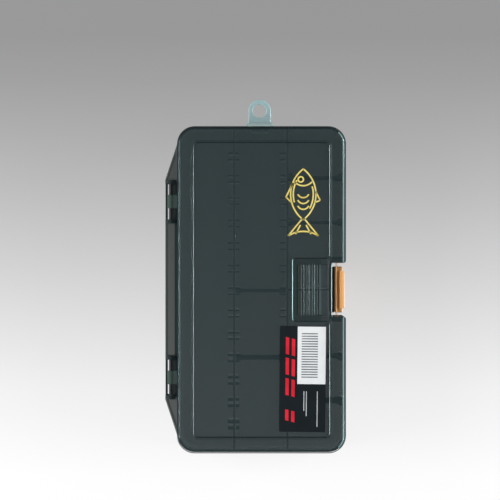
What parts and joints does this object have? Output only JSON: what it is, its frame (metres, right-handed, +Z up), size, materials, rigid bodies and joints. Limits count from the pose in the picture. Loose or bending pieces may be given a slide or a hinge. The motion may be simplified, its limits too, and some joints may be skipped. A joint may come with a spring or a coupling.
{
  "type": "hinged tackle case",
  "caption": "Flat smoke-tinted plastic tackle case with a hinged lid, snap latch, compartment tray, removable dividers and a clear hanging tab.",
  "frame": {"origin": "middle of the closed case's footprint, hinge shelf included and hanging tab left out, on the flat underside", "axes": "+X along the case towards the hanging tab, +Y across it towards the hinges, +Z up through the lid"},
  "size_m": [0.2019, 0.103, 0.034],
  "materials": {
    "smoke_plastic": "smoke-tinted, semi-gloss",
    "amber_plastic": "translucent amber",
    "clear_plastic": "clear, faintly green",
    "pin_steel": "blackened steel",
    "label_film": "black label with a white panel"
  },
  "bodies": {
    "base": {"base_tray": "smoke_plastic", "hinge_pin_left": "pin_steel", "hinge_pin_right": "pin_steel", "divider_middle_1": "smoke_plastic", "divider_middle_2": "smoke_plastic", "divider_front_1": "smoke_plastic", "divider_front_2": "smoke_plastic", "divider_front_3": "smoke_plastic", "divider_front_4": "smoke_plastic"},
    "lid": {"lid": "smoke_plastic", "label": "label_film"},
    "latch": {"latch": "amber_plastic"},
    "hanger": {"hang_tab": "clear_plastic"}
  },
  "joints": [
    {"name": "lid_hinge", "type": "hinge", "parent": "base", "child": "lid", "pos_m": [0, 0.0482, 0.024], "axis": [-1, 0, 0], "range_deg": [0, 180]},
    {"name": "latch_pivot", "type": "hinge", "parent": "base", "child": "latch", "pos_m": [0, -0.0473, 0.0045], "axis": [1, 0, 0], "range_deg": [0, 90]},
    {"name": "hanger_slide", "type": "slide", "parent": "base", "child": "hanger", "axis": [1, 0, 0], "range_m": [0, 0.01]}
  ]
}
